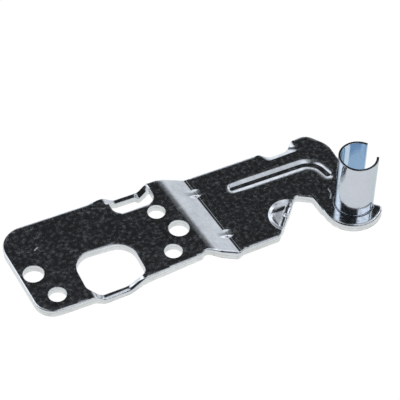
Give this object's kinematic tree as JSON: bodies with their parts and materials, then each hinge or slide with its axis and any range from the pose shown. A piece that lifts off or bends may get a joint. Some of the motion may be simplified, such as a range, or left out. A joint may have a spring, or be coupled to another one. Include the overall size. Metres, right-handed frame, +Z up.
{
  "type": "freezer door hinge",
  "caption": "Freezer door hinge: a stepped pressed steel bracket with screw holes, a window, a slot, a stiffening groove and a hollow upright hinge pin that is open down one side",
  "frame": {"origin": "on the axis of the hinge pin, level with the upper face of the bracket's arm", "axes": "+Z runs up the hinge pin; the bracket runs out along -X, so +X points from the mounting plate to the pin; +Y is across the bracket, away from the eye's side"},
  "size_m": [0.1299, 0.0467, 0.0286],
  "materials": {
    "bracket_steel": "bright zinc plating over rolled steel, faint scratches",
    "pin_steel": "bright zinc plating, polished"
  },
  "bodies": {
    "root": {"bracket_plate": "bracket_steel", "hinge_pin_sleeve": "pin_steel"}
  },
  "joints": []
}
